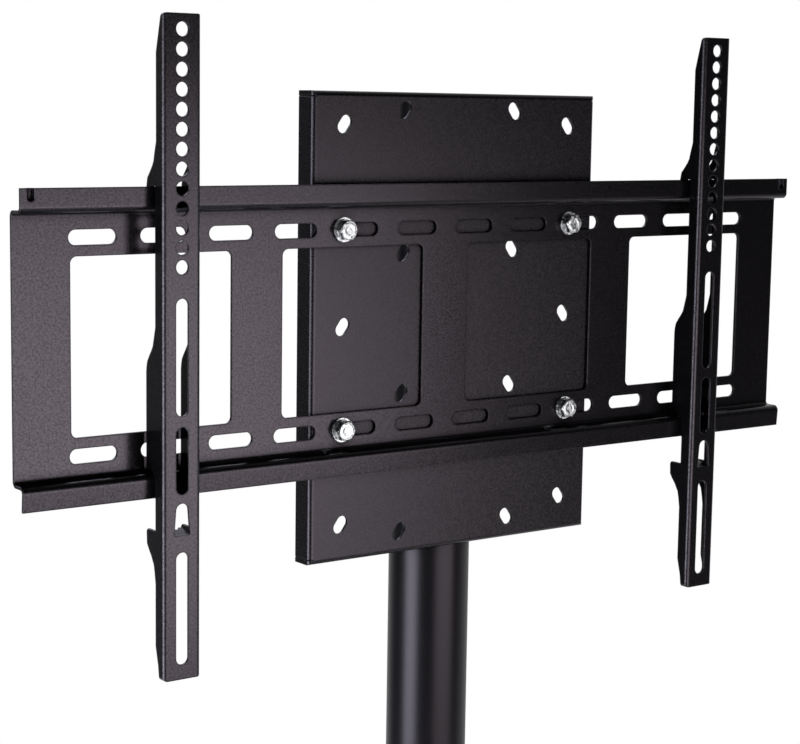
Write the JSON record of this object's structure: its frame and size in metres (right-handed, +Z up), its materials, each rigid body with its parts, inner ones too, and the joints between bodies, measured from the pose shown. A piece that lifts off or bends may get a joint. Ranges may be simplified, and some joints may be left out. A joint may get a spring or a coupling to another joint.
{
  "type": "television stand",
  "caption": "Free-standing stand: slotted plate with sliding hook-on arms on a sheet-metal box, clamped telescopic pole and flat base with feet.",
  "frame": {"origin": "on the floor, on the axis of the pole", "axes": "+Z up along the pole, -Y towards the screen and the viewer, +X to the viewer's right"},
  "size_m": [0.72, 0.5, 1.5098],
  "materials": {
    "coated_steel": "satin black powder coat with a fine texture",
    "coated_tube": "satin black powder coat",
    "zinc_hardware": "bright zinc plating",
    "black_rubber": "matt",
    "black_nylon": "fine grained, matt"
  },
  "bodies": {
    "stand": {"base_plate": "coated_steel", "foot_front_left": "black_rubber", "foot_front_right": "black_rubber", "foot_rear_left": "black_rubber", "foot_rear_right": "black_rubber", "foot_screws": "zinc_hardware", "pole_flange": "coated_steel", "flange_washers": "zinc_hardware", "flange_bolts": "zinc_hardware", "base_cover": "coated_steel", "outer_tube": "coated_tube", "guide_bush": "black_nylon", "clamp_collar": "coated_steel", "collar_grub_screws": "zinc_hardware"},
    "mast": {"inner_tube": "coated_tube", "glide_ring": "black_nylon", "pole_cap": "black_nylon", "adapter_box": "coated_steel", "upper_saddle": "coated_steel", "lower_saddle": "coated_steel", "wall_plate": "coated_steel", "front_washers": "zinc_hardware", "spring_washers": "zinc_hardware", "plate_bolts": "zinc_hardware", "rear_washers": "zinc_hardware", "lock_nuts": "zinc_hardware"},
    "knob": {"clamp_knob": "black_nylon", "clamp_stud": "zinc_hardware", "pressure_pad": "black_rubber"},
    "left_arm": {"left_arm": "coated_steel"},
    "right_arm": {"right_arm": "coated_steel"}
  },
  "joints": [
    {"name": "height_slide", "type": "slide", "parent": "stand", "child": "mast", "axis": [0, 0, 1], "range_m": [-0.22, 0.22]},
    {"name": "knob_turn", "type": "hinge", "parent": "stand", "child": "knob", "pos_m": [0, 0.07, 0.8865], "axis": [0, 1, 0], "range_deg": [0, 720]},
    {"name": "left_arm_slide", "type": "slide", "parent": "mast", "child": "left_arm", "axis": [1, 0, 0], "range_m": [-0.08, 0.118]},
    {"name": "right_arm_slide", "type": "slide", "parent": "mast", "child": "right_arm", "axis": [1, 0, 0], "range_m": [-0.1, 0.071]}
  ]
}
